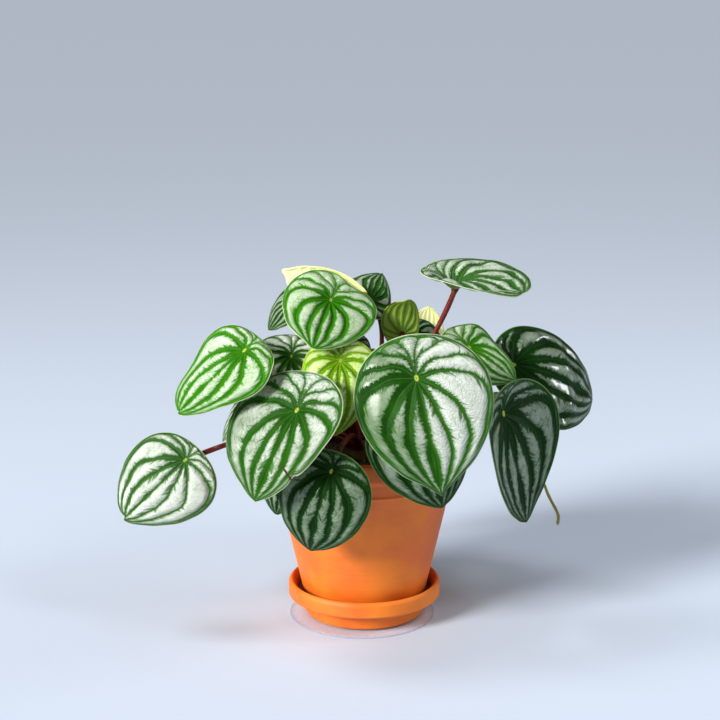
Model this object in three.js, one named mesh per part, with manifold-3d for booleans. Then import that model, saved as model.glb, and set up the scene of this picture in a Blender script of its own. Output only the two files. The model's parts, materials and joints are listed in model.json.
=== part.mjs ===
// Potted peperomia: a rosette of silver-striped leaves on red-brown petioles, growing from a short
// crown in a clay pot that stands in its saucer on a thin clear disc.
// Millimetres, +Z up. The origin is on the table, under the axis of the pot.
import * as THREE from "three";
import { mergeVertices } from "three/addons/utils/BufferGeometryUtils.js";
import Module from "manifold-3d";

const wasm = await Module();
wasm.setup();

const gap = 0.3;
const roundSides = 36;

// The clear disc keeps the damp saucer off the table and sits a little forward and to one side.
const disc = { radius: 47, thickness: 1, forward: 3, aside: 1.5 };

// The saucer's wall stands out from a lower foot, which is solid under the pot.
const saucer = {
  footRadius: 38.5,
  floorRadius: 42,
  rimRadius: 49.3,
  lipRound: 2,
  ease: 1,
  underside: 12.5,
  top: 23,
  floor: 15,
  wall: 4,
};

const pot = {
  baseRadius: 39.9,
  bodyRadius: 57,
  collarRadius: 60,
  bodyTop: 93.7,
  collarFoot: 103.7,
  height: 116.3,
  wall: 4.5,
  floor: 5,
  drainRadius: 6,
  ease: 1.2,
};
pot.base = disc.thickness + saucer.floor;
pot.insideFloor = pot.base + pot.floor;

const soil = { top: 105, middle: 108, slope: 22 };
const crown = { radius: 15, depth: 14, height: 6 };

// A petiole starts at a share of the crown's radius. The other shares are of its way to the leaf.
const petiole = {
  radius: 1.8,
  sides: 6,
  steps: 6,
  foot: 0.45,
  rise: 0.25,
  reach: 0.2,
  tuck: 0.12,
  sag: 0.6,
};

const spike = {
  radius: 0.9,
  steps: 16,
  route: [[6, 4, 110], [50, 22, 146], [92, 24, 130], [112, 8, 98], [118, 1, 79], [126, 0, 65], [125, 0, 58]],
};
const blade = { thickness: 0.8, spokes: 18, rings: [0.4, 0.75, 1], dipRadius: 9, foldRound: 5 };

// A leaf: where its petiole meets it, the heading that its upper face looks to, how far that face is
// tilted from level, how far its tip is turned from straight downhill, its length, its width and the
// share of its length behind the petiole, and the degrees by which its left side, right side, tip
// and base bend down. Headings are in degrees from +X towards +Y. The last value holds extras: the
// height and number of waves at the edge, the rise of both sides from the midrib, the side shift of
// the tip, the share by which the right side is narrower, the rise of the petiole, the depth of the
// dimple over it, how pointed the tip is, the outline's dents (where in degrees round from the tip, how
// deep as a share, how wide in degrees), and a point that the petiole bends towards.
const leaf = (name, at, [heading, tilt, turn], [length, width, back], [left, right, tip, base], extra) => ({
  name: `leaf_${name}`,
  at: new THREE.Vector3(...at),
  heading,
  tilt,
  turn,
  length,
  width,
  back,
  bend: { left, right, tip, base },
  wave: 0,
  waves: 5,
  fold: 0,
  sweep: 0,
  skew: 0,
  lift: 8,
  dip: 2.5,
  point: 0.6,
  dents: [],
  ...extra,
});

const leaves = [
  leaf("far_left", [-113, -20, 108], [-91, 57, -42], [69, 64, 0.18], [23, 21, 20, 24],
    { sweep: 4, skew: 0.01, point: 0.7, lift: 32, dents: [[7, 0.06, 20], [-172, 0.05, 24]],
      via: [-96, -2, 110] }),
  leaf("upper_left", [-74, -28, 181], [-126, 48, -26], [76, 62, 0.2], [28, 6, 5, 61],
    { sweep: 2, point: 0.9, dents: [[4, 0.08, 22], [-79, 0.06, 24], [79, 0.1, 21], [55, -0.05, 19]],
      via: [-92, -12, 150] }),
  leaf("top_centre", [-21, -5, 208], [-60, 44, -42], [67, 62, 0.36], [-6, 43, 8, 17],
    { sweep: -3, skew: -0.01, point: 0.5, dents: [[-165, 0.18, 15], [50, -0.06, 16]] }),
  leaf("top_right", [57, 0, 214.6], [-96, 10, 59], [79, 62, 0.28], [3, -26, 14, -7],
    { skew: 0.15, sweep: -7, dip: 9.5, point: 0.5, dents: [[-2, 0.17, 36]] }),
  leaf("right_bright", [66, -6, 178], [-54, 40, 26], [58, 50, 0.33], [10, 17, 13, 21],
    { wave: 1.5, sweep: -5, skew: -0.18, point: 0.9,
      dents: [[123, 0.11, 25], [110, 0.08, 12], [-142, 0.04, 15]] }),
  leaf("right_glossy", [96, 17, 161], [-70, 56, 72], [93, 73, 0.18], [28, 7, 49, 2],
    { skew: -0.05, point: 0.4, dents: [[127, 0.11, 24]] }),
  leaf("right_hanging", [87, -22, 139], [-38, 84, 12], [98, 78, 0.21], [-30, -30, 3, -22],
    { skew: 0.08 }),
  leaf("front_large", [31, -62, 172], [-88, 58, 10], [101, 89, 0.28], [22, 38, 42, 9],
    { sweep: -3, skew: 0.05, dents: [[0, -0.045, 14]] }),
  leaf("front_under", [34, -60, 139], [-78, 70, 15], [77, 68, 0.32], [30, 22, 33, 20], { skew: -0.08 }),
  leaf("front_left", [-41, -58, 151], [-122, 47, -5], [90, 84, 0.3], [1, 16, 12, 7],
    { sweep: -1, skew: -0.14, point: 0.5, dents: [[34, 0.03, 17], [-83, 0.07, 32]], via: [-31, -44, 126] }),
  leaf("front_low", [-20, -76, 118], [-100, 65, -17], [71, 61, 0.18], [27, 33, 60, 18], { lift: 26 }),
  leaf("young_lime", [-15, -30, 175], [-88, 55, -6], [66, 50, 0.26], [24, 36, 24, 25]),
  leaf("left_inner", [-46, -6, 172], [-86, 42, -10], [54, 48, 0.36], [22, 14, 20, 32]),
  leaf("top_back", [4, 32, 200], [-75, 60, 150], [37, 35, 0.34], [16, 35, 32, 14],
    { skew: 0.17, point: 1.1, dents: [[-11, 0.06, 12], [0, -0.13, 6]], via: [22, 36, 176] }),
  leaf("small_dark", [-45, 18, 203], [-140, 50, -20], [36, 32, 0.28], [20, 20, 20, 20]),
  leaf("pale_back", [-28, 23, 211], [69, 68, -89], [60, 31, 0.43], [11, 22, 19, -6],
    { skew: -0.02, point: 0.5, dents: [[157, -0.16, 11]] }),
  leaf("young_folded", [24, 8, 184], [85, 72, 181], [46, 25, 0.29], [25, 3, 39, 12],
    { fold: 0.17, sweep: -4, skew: -0.12, point: 0.4, dents: [[17, 0.12, 23]] }),
  leaf("pale_right", [41, 37, 177], [70, 74, 188], [29, 24, 0.3], [25, 25, 10, 15],
    { via: [34, 26, 160] }),
  leaf("centre_dark", [32, 22, 179], [-92, 50, 40], [38, 30, 0.3], [20, 20, 20, 20]),
  leaf("middle_dark", [-8, -12, 180], [-84, 52, 4], [28, 24, 0.34], [20, 20, 20, 20]),
  leaf("left_low", [-74, -1, 143], [-165, 52, -6], [46, 42, 0.26], [20, 20, 25, 20]),
  leaf("under_left", [-47, -50, 116], [-116, 72, -8], [48, 40, 0.28], [20, 20, 20, 20], { lift: 26 }),
  leaf("rear_upper_right", [58, 45, 154], [38, 38, 12], [66, 56, 0.27], [22, 22, 30, 20]),
  leaf("rear_upper", [-5, 50, 157], [95, 38, -8], [64, 58, 0.27], [22, 22, 26, 20]),
  leaf("rear_upper_left", [-45, 38, 160], [140, 38, 6], [68, 60, 0.27], [20, 24, 30, 20]),
  leaf("rear_right", [22, 92, 118], [76, 58, 12], [78, 66, 0.25], [22, 26, 38, 18], { lift: 16 }),
  leaf("rear_left", [-47, 82, 116], [120, 58, 10], [80, 68, 0.25], [26, 22, 38, 18], { lift: 16 }),
  leaf("left_rear", [-84, 26, 162], [166, 46, 4], [56, 50, 0.27], [22, 22, 28, 20],
    { via: [-84, 14, 138] }),
  leaf("rear_low_left", [-65, 42, 112], [147, 80, 12], [64, 54, 0.22], [26, 26, 30, 18], { lift: 30 }),
  leaf("rear_low", [-15, 80, 107], [100, 80, -6], [62, 52, 0.22], [28, 28, 30, 18], { lift: 32 }),
  leaf("rear_low_right", [46, 67, 110], [54, 80, -10], [60, 50, 0.22], [26, 28, 30, 18], { lift: 30 }),
  leaf("right_rear", [99, 38, 122], [22, 60, 6], [70, 60, 0.25], [24, 24, 34, 18], { lift: 26 }),
];

const colours = {
  clay: new THREE.MeshStandardMaterial({ color: 0xd9642a, roughness: 0.8, metalness: 0 }),
  clear: new THREE.MeshStandardMaterial({ color: 0xe4ebf0, roughness: 0.1, metalness: 0 }),
  soil: new THREE.MeshStandardMaterial({ color: 0x2c2019, roughness: 1, metalness: 0 }),
  petiole: new THREE.MeshStandardMaterial({ color: 0x8c3a30, roughness: 0.5, metalness: 0 }),
  leaf: new THREE.MeshStandardMaterial({ color: 0x6f9a63, roughness: 0.4, metalness: 0 }),
};

const radians = THREE.MathUtils.degToRad;
const part = new THREE.Group();

function addMesh(name, geometry, material) {
  const mesh = new THREE.Mesh(geometry, material);
  mesh.name = name;
  part.add(mesh);
  return mesh;
}

// Closed outlines of [radius, height] are turned round the Z axis.
function turned(outline, sides = roundSides) {
  const points = outline.map(([radius, height]) => new THREE.Vector2(radius, height));
  return new THREE.LatheGeometry(points, sides).rotateX(Math.PI / 2);
}

function toManifold(geometry) {
  const bare = geometry.clone();
  bare.deleteAttribute("normal");
  bare.deleteAttribute("uv");
  const merged = mergeVertices(bare, 1e-4);
  return new wasm.Manifold(
    new wasm.Mesh({
      numProp: 3,
      vertProperties: new Float32Array(merged.attributes.position.array),
      triVerts: new Uint32Array(merged.index.array),
    }),
  );
}

function toGeometry(solid) {
  const mesh = solid.getMesh();
  const geometry = new THREE.BufferGeometry();
  geometry.setAttribute("position", new THREE.BufferAttribute(mesh.vertProperties, 3));
  geometry.setIndex(new THREE.BufferAttribute(mesh.triVerts, 1));
  geometry.computeVertexNormals();
  return geometry;
}

function addDisc() {
  const { radius, thickness, forward, aside } = disc;
  const outline = [[0, 0], [radius, 0], [radius, thickness], [0, thickness]];
  addMesh("clear_disc", turned(outline), colours.clear).position.set(-aside, -forward, 0);
}

function addSaucer() {
  const { footRadius, floorRadius, rimRadius, lipRound, ease, underside, top, floor, wall } = saucer;
  const bottom = disc.thickness;
  const inside = rimRadius - wall;
  const outline = [
    [0, bottom],
    [footRadius - ease, bottom],
    [footRadius, bottom + ease],
    [footRadius + ease, underside - ease],
    [rimRadius - ease, underside],
    [rimRadius, underside + ease],
    [rimRadius, top - lipRound],
    [rimRadius - lipRound / 2, top - lipRound / 4],
    [rimRadius - lipRound, top],
    [inside + lipRound / 2, top - lipRound / 4],
    [inside, top - lipRound],
    [floorRadius + ease, bottom + floor + ease],
    [floorRadius, bottom + floor],
    [0, bottom + floor],
  ];
  addMesh("saucer", turned(outline), colours.clay);
}

// The pot's inside runs parallel to its tapered outside, up to a short ramp under the collar.
const taper = (pot.bodyRadius - pot.baseRadius) / (pot.bodyTop - pot.base);
const insideRadius = (height) => pot.baseRadius - pot.wall + taper * (height - pot.base);
const throat = { radius: insideRadius(pot.bodyTop), height: pot.bodyTop + 2 };
const mouthRadius = pot.collarRadius - pot.wall;

function addPot() {
  const { base, insideFloor, baseRadius, bodyRadius, collarRadius, bodyTop, collarFoot, height, ease } = pot;
  const outline = [
    [pot.drainRadius, base],
    [baseRadius - ease, base],
    [baseRadius, base + ease],
    [bodyRadius, bodyTop - ease],
    [bodyRadius + ease, bodyTop],
    [bodyRadius + ease / 2, throat.height],
    [bodyRadius + ease, collarFoot - ease],
    [collarRadius - ease / 2, collarFoot],
    [collarRadius, collarFoot + ease],
    [collarRadius, height - ease],
    [collarRadius - ease, height],
    [mouthRadius + ease, height],
    [mouthRadius, height - ease],
    [throat.radius, throat.height],
    [insideRadius(insideFloor), insideFloor],
    [pot.drainRadius, insideFloor],
  ];
  outline.push(outline[0]);
  addMesh("pot", turned(outline), colours.clay);
}

function addSoil() {
  const { top, middle, slope } = soil;
  const edge = throat.radius - gap;
  const upToMouth = (top - throat.height) / (pot.height - throat.height);
  const rim = edge + (mouthRadius - throat.radius) * upToMouth;
  const holeFloor = middle - crown.depth;
  const holeRadius = crown.radius + gap;
  const outline = [
    [0, pot.insideFloor],
    [insideRadius(pot.insideFloor) - gap, pot.insideFloor],
    [edge, throat.height],
    [rim, top],
    [rim - slope, (top + middle) / 2],
    [holeRadius, middle],
    [holeRadius, holeFloor],
    [0, holeFloor],
  ];
  addMesh("soil", turned(outline), colours.soil);
}

// Right, tip and upper directions of a leaf, as columns of its placing matrix.
function placing(spec) {
  const heading = radians(spec.heading);
  const tilt = radians(spec.tilt);
  const upper = new THREE.Vector3(
    Math.sin(tilt) * Math.cos(heading),
    Math.sin(tilt) * Math.sin(heading),
    Math.cos(tilt),
  );
  const downhill = new THREE.Vector3(
    Math.cos(tilt) * Math.cos(heading),
    Math.cos(tilt) * Math.sin(heading),
    -Math.sin(tilt),
  );
  const tip = downhill.applyAxisAngle(upper, radians(spec.turn));
  const right = tip.clone().cross(upper);
  return new THREE.Matrix4().makeBasis(right, tip, upper).setPosition(spec.at);
}

// Length x of a strip of the given reach, bent down evenly by so many degrees at its end.
function bent(x, reach, degrees) {
  if (Math.abs(degrees) < 0.1) {
    return [x, 0];
  }
  const curve = radians(degrees) / reach;
  return [Math.sin(curve * x) / curve, (1 - Math.cos(curve * x)) / curve];
}

// Share of the full outline that a blade reaches at an angle: 1, and less in a dent.
function outlineShare(spec, angle) {
  let share = 1;
  for (const [middle, depth, spread] of spec.dents) {
    const away = ((THREE.MathUtils.radToDeg(angle) - middle + 540) % 360) - 180;
    share -= depth * Math.exp(-((away / spread) ** 2));
  }
  return share;
}

// Point of a blade on the ray to angle round its outline (0 at the tip), at a share of the way out.
function bladePoint(spec, angle, share) {
  const { length, width, back, bend, point } = spec;
  const widest = 2 * ((point + 1) / (point + 2)) ** ((point + 1) / 2) * (1 / (point + 2)) ** 0.5;
  const side = Math.sin(angle) * Math.abs(Math.sin(angle / 2)) ** point;
  const half = (width / 2) * (1 - spec.skew * Math.sign(side));
  const reached = share * outlineShare(spec, angle);
  const across = (reached * half * side) / widest;
  const along = reached * length * (0.5 - back + Math.cos(angle) / 2);
  const [x, sideDrop] = bent(across, width / 2, across > 0 ? bend.right : bend.left);
  const reach = along > 0 ? length * (1 - back) : length * back;
  const [y, endDrop] = bent(along, reach, along > 0 ? bend.tip : bend.base);
  const radius = Math.hypot(across, along);
  const dip = spec.dip * (1 - Math.exp(-((radius / blade.dipRadius) ** 2)));
  const wave = spec.wave * share ** 3 * Math.sin(spec.waves * angle);
  const fold = spec.fold * (Math.hypot(across, blade.foldRound) - blade.foldRound);
  const swept = along > 0 ? spec.sweep * (along / reach) ** 2 : 0;
  return new THREE.Vector3(x + swept, y, dip + wave + fold - sideDrop - endDrop);
}

// A blade is one grid of rings and spokes, moved half its thickness both ways along its normals.
function bladeGeometry(spec, thickness) {
  const { spokes, rings } = blade;
  const points = [bladePoint(spec, 0, 0)];
  for (const share of rings) {
    for (let i = 0; i < spokes; i++) {
      points.push(bladePoint(spec, (i * 2 * Math.PI) / spokes, share));
    }
  }
  const at = (ring, spoke) => 1 + ring * spokes + (spoke % spokes);
  const faces = [];
  for (let i = 0; i < spokes; i++) {
    faces.push([0, at(0, i + 1), at(0, i)]);
    for (let ring = 1; ring < rings.length; ring++) {
      faces.push([at(ring - 1, i), at(ring - 1, i + 1), at(ring, i)]);
      faces.push([at(ring - 1, i + 1), at(ring, i + 1), at(ring, i)]);
    }
  }
  const sheet = new THREE.BufferGeometry().setFromPoints(points);
  sheet.setIndex(faces.flat());
  sheet.computeVertexNormals();
  const normals = sheet.attributes.normal;
  const positions = [];
  for (const way of [0.5, -0.5]) {
    points.forEach((point, i) => {
      const normal = new THREE.Vector3().fromBufferAttribute(normals, i);
      positions.push(...point.clone().addScaledVector(normal, way * thickness).toArray());
    });
  }
  const under = points.length;
  const triangles = faces.flatMap(([a, b, c]) => [[a, b, c], [a + under, c + under, b + under]]);
  const last = rings.length - 1;
  for (let i = 0; i < spokes; i++) {
    const [here, next] = [at(last, i), at(last, i + 1)];
    triangles.push([here, next, here + under], [next, next + under, here + under]);
  }
  const geometry = new THREE.BufferGeometry();
  geometry.setAttribute("position", new THREE.Float32BufferAttribute(positions, 3));
  geometry.setIndex(triangles.flat());
  geometry.computeVertexNormals();
  return geometry;
}

function addLeaves() {
  for (const spec of leaves) {
    const mesh = addMesh(spec.name, bladeGeometry(spec, blade.thickness), colours.leaf);
    placing(spec).decompose(mesh.position, mesh.quaternion, mesh.scale);
  }
}

// The petiole runs from the crown to the underside of its blade and stops a gap short of it.
function petioleSolid(spec) {
  const foot = new THREE.Vector3(spec.at.x, spec.at.y, 0).setLength(crown.radius * petiole.foot);
  foot.z = soil.middle + 1;
  const chord = spec.at.clone().sub(foot);
  const rising = foot.clone().addScaledVector(chord, petiole.rise);
  rising.z += spec.lift;
  const facing = new THREE.Vector3().setFromMatrixColumn(placing(spec), 2);
  const arriving = spec.at.clone().addScaledVector(chord, -petiole.reach);
  arriving.addScaledVector(facing, -petiole.tuck * chord.length());
  arriving.z += spec.lift * petiole.sag;
  if (spec.via) {
    arriving.set(...spec.via);
  }
  const path = new THREE.CubicBezierCurve3(foot, rising, arriving, spec.at);
  const tube = tubeAlong(path, petiole.radius, petiole.sides, petiole.steps);
  const seat = bladeGeometry(spec, blade.thickness + 2 * gap).applyMatrix4(placing(spec));
  const pieces = tube.subtract(toManifold(seat)).decompose();
  return pieces.sort((a, b) => b.volume() - a.volume())[0];
}

function tubeAlong(path, radius, sides, steps) {
  const section = new THREE.Shape().absarc(0, 0, radius, 0, 2 * Math.PI);
  const options = { steps, curveSegments: sides / 2, extrudePath: path, bevelEnabled: false };
  return toManifold(new THREE.ExtrudeGeometry(section, options));
}

// One old flower spike has dried and hangs down on the right.
function spikeSolid() {
  const points = spike.route.map((point) => new THREE.Vector3(...point));
  return tubeAlong(new THREE.CatmullRomCurve3(points), spike.radius, petiole.sides, spike.steps);
}

// The petioles grow from one short crown and are one piece with it.
function addStems() {
  const { radius, depth, height } = crown;
  const foot = soil.middle - depth;
  const outline = [
    [0, foot],
    [radius, foot],
    [radius, soil.middle],
    [radius * 0.8, soil.middle + height * 0.7],
    [0, soil.middle + height],
  ];
  const stems = [toManifold(turned(outline)), spikeSolid(), ...leaves.map(petioleSolid)];
  addMesh("stems", toGeometry(wasm.Manifold.union(stems)), colours.petiole);
}

addDisc();
addSaucer();
addPot();
addSoil();
addLeaves();
addStems();

export default part;
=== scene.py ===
import json
import random
from math import cos, pi, radians, sin, sqrt

import bpy
import numpy as np
from mathutils import Matrix, Vector
from numpy.linalg import norm


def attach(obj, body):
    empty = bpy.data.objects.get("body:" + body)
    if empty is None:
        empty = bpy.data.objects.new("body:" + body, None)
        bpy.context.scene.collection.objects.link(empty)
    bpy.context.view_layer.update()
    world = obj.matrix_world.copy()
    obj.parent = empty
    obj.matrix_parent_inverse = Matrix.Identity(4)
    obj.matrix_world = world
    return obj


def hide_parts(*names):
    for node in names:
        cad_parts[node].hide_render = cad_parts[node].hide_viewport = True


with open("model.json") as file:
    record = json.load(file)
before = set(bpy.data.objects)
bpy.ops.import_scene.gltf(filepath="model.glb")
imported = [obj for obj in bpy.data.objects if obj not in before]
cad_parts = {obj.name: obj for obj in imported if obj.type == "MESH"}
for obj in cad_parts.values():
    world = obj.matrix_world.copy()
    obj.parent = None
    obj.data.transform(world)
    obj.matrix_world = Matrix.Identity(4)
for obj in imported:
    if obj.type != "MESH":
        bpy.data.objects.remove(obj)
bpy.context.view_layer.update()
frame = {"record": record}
mm = 0.001
print("frame loaded")

# camera, at the photo's angle
cameraSettings = {"place": (-2.8, -1107.0, 438.0), "pitchDown": 13.7, "lens": 90.0, "sensor": 36.0,
                  "clip": (0.05, 80.0)}


def addObject(name, data):
    thing = bpy.data.objects.new(name, data)
    bpy.context.collection.objects.link(thing)
    return thing


def makeCamera():
    s = cameraSettings
    data = bpy.data.cameras.new("photoCamera")
    data.lens = s["lens"]
    data.sensor_width = s["sensor"]
    data.clip_start, data.clip_end = s["clip"]
    camera = addObject("photoCamera", data)
    camera.location = Vector(s["place"]) * mm
    camera.rotation_euler = (radians(90.0 - s["pitchDown"]), 0.0, 0.0)
    bpy.context.scene.camera = camera
    print("camera made")


# a broad soft key from the left, three windows that gleam on the leaves, and pale room light
lightSettings = {
    "key": {"towards": (-0.70, -0.56, 0.44), "distance": 2.0, "angle": 19.0, "power": 4.4,
            "colour": (1.0, 0.985, 0.955)},
    "side": {"towards": (0.55, -0.42, 0.72), "distance": 1.3, "size": (0.33, 0.33), "power": 3.1,
             "colour": (0.97, 0.985, 1.0)},
    "back": {"towards": (-0.56, 0.08, 0.82), "distance": 1.3, "size": (0.42, 0.42), "power": 6.5,
             "colour": (0.98, 0.985, 1.0)},
    "right": {"towards": (0.92, 0.14, 0.34), "distance": 1.3, "size": (0.34, 0.24), "power": 3.9,
              "colour": (0.95, 0.98, 1.0)},
    "aim": (0.0, 0.0, 130.0), "room": (0.82, 0.84, 0.89), "roomStrength": 0.16,
}


def addLight(name, kind):
    lamp = lightSettings[name]
    data = bpy.data.lights.new(name + "Light", kind)
    data.color = lamp["colour"]
    data.energy = lamp["power"]
    light = addObject(name + "Light", data)
    away = Vector(lamp["towards"]).normalized()
    light.location = Vector(lightSettings["aim"]) * mm + away * lamp["distance"]
    light.rotation_euler = away.to_track_quat("Z", "Y").to_euler()
    return data


def makeLights():
    addLight("key", "SUN").angle = radians(lightSettings["key"]["angle"])
    for name in ("side", "back", "right"):
        window = addLight(name, "AREA")
        window.shape = "RECTANGLE"
        window.size, window.size_y = lightSettings[name]["size"]
    world = bpy.data.worlds.new("room")
    world.use_nodes = True
    feed(world.node_tree.nodes["Background"],
         {"Color": (*lightSettings["room"], 1.0), "Strength": lightSettings["roomStrength"]})
    bpy.context.scene.world = world
    bpy.context.scene.view_settings.view_transform = "Standard"
    print("lights made")


# a socket of a node tree, with which sums can be written: each sum adds the node that works it out
class Field:
    def __init__(self, socket):
        self.socket = socket
        self.tree = socket.id_data

    def __add__(self, other):
        return calc("ADD", self, other)

    def __sub__(self, other):
        return calc("SUBTRACT", self, other)

    def __mul__(self, other):
        return calc("MULTIPLY", self, other)

    def __truediv__(self, other):
        return calc("DIVIDE", self, other)

    def siblings(self):
        # all that its node puts out, by title
        return {socket.name: Field(socket) for socket in self.socket.node.outputs}


def feed(node, values):
    # sets a node's inputs, given in order or by title
    for key, value in values.items() if isinstance(values, dict) else enumerate(values):
        if isinstance(value, Field):
            node.id_data.links.new(value.socket, node.inputs[key])
        else:
            node.inputs[key].default_value = value


def addNode(tree, kind, values=(), output=0, **settings):
    node = tree.nodes.new("ShaderNode" + kind)
    for title, setting in settings.items():
        setattr(node, title, setting)
    feed(node, values)
    return Field(node.outputs[output])


def calc(operation, *values, clamp=False):
    return addNode(values[0].tree, "Math", values, operation=operation, use_clamp=clamp)


def vectorCalc(operation, *values):
    output = "Value" if operation in ("LENGTH", "DOT_PRODUCT") else "Vector"
    return addNode(values[0].tree, "VectorMath", values, output, operation=operation)


def blend(share, first, second):
    values = {0: share, 6: first, 7: second}
    return addNode(share.tree, "Mix", values, 2, data_type="RGBA", clamp_factor=True)


def layered(base, *layers):
    # lays colours over the first one, each by its share
    for share, colour in layers:
        base = blend(share, base, colour)
    return base


def ramp(value, low, high, fromValue=0.0, toValue=1.0):
    values = (value, low, high, fromValue, toValue)
    return addNode(value.tree, "MapRange", values, interpolation_type="SMOOTHSTEP")


def joined(x, y, z=0.0):
    return addNode(x.tree, "CombineXYZ", (x, y, z))


def parts(vector):
    return addNode(vector.tree, "SeparateXYZ", (vector,)).siblings().values()


def noise(place, scale, detail=2.0, rough=0.5):
    values = {"Vector": place, "Scale": scale, "Detail": detail, "Roughness": rough}
    return addNode(place.tree, "TexNoise", values)


def cellEdges(place, scale):
    values = {"Vector": place, "Scale": scale}
    return addNode(place.tree, "TexVoronoi", values, "Distance", feature="DISTANCE_TO_EDGE")


def attribute(tree, name, output="Fac"):
    return addNode(tree, "Attribute", output=output, attribute_name=name)


def objectPlace(tree):
    return addNode(tree, "TexCoord", output="Object")


def newGroup(name, **inputs):
    tree = bpy.data.node_groups.new(name, "ShaderNodeTree")
    for title, (kind, value) in inputs.items():
        socket = tree.interface.new_socket(name=title, in_out="INPUT", socket_type="NodeSocket" + kind)
        socket.default_value = value
    given = tree.nodes.new("NodeGroupInput").outputs
    return tree, {title: Field(given[title]) for title in inputs}


def closeGroup(tree, **results):
    for title in results:
        tree.interface.new_socket(name=title, in_out="OUTPUT", socket_type="NodeSocketFloat")
    feed(tree.nodes.new("NodeGroupOutput"), results)
    return tree


def useGroup(tree, group, **values):
    return addNode(tree, "Group", values, node_tree=group).siblings()


def newMaterial(name):
    material = bpy.data.materials.new(name)
    material.use_nodes = True
    return material, material.node_tree, material.node_tree.nodes["Principled BSDF"]


def addBump(shader, height, distance):
    feed(shader, {"Normal": addNode(height.tree, "Bump", {"Height": height, "Distance": distance})})


def screen(red, green, blue):
    # screen colour from 0 to 255, as the linear colour that nodes take
    values = [v / 255.0 for v in (red, green, blue)]
    linear = [v / 12.92 if v <= 0.04045 else ((v + 0.055) / 1.055) ** 2.4 for v in values]
    return (*linear, 1.0)


# the stripes of a blade, in the millimetres of a leaf 100 mm long: the heading from the navel at
# which each main vein starts, the half width of its green band, and how its course bends to the tip
veinSettings = {
    "starts": (0.0, 27.0, 58.0, 97.0, 122.0, 150.0, 178.0),
    "halfWidths": (2.9, 2.9, 3.1, 2.6, 1.5, 0.8, 0.6),
    "gathers": (0.0, 0.0, 0.0, 4.0, 16.0, 25.0, 0.0),  # degrees by which a vein leaves a shared trunk
    "ends": (200.0, 200.0, 104.0, 88.0, 78.0, 66.0, 60.0),  # how far along each band fades into the rim
    "headings": (0.0, 27.0, 58.0, 97.0, 120.0, 148.0, 180.0, 215.0),
    "powers": (5.0, 6.0, 8.0, 16.0, 20.0, 24.0, 28.0, 30.0),
    "falls": (0.55, 0.5, 0.35, 0.12, 0.05, 0.03, 0.02, 0.02),
    "furthest": 215.0,
    "wander": 15.0,  # degrees by which a vein strays from its course
    "trunk": (24.0, 8.0), "swell": 0.9, "leastSwell": 0.55, "fade": (30.0, 80.0, 1.0, 0.74),
    "grow": (7.0, 24.0, 1.4, 1.0),  # the bands run together round the navel
    "crowded": 7.0,  # half width of a band for each unit of spread, where the veins close up
    "crowdedInside": (20.0, 46.0, 9.0, 0.0),
    "barbLength": 1.3, "barbPitch": 0.8, "barbLean": 0.5, "bandEdge": (0.3, -0.4),
    "forkPitch": 4.2, "forkLength": 8.5, "forkSlant": 1.3, "forkWidth": 0.035,
    "forkSpread": 11.0,  # how far a fork may reach for each unit of spread
    # heart: the bands are darker near the navel, partly their own colour and partly painted shade of the dip
    # there
    "core": (0.42, 0.12), "coreAlong": (46.0, 10.0, 0.0, 0.8), "haloWidth": 2.1, "heart": (26.0, 6.0),
    "navel": (2.1, 1.4), "dot": (1.0, 0.6), "navelGreen": (176, 192, 78), "navelBrown": (130, 104, 50),
    # the edge is a painted highlight along the margin, as if the rim caught the light
    "streakLength": 17.0, "marginWidth": 1.4, "edgeWidth": 0.85, "paleClouds": 1.1,
}


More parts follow.
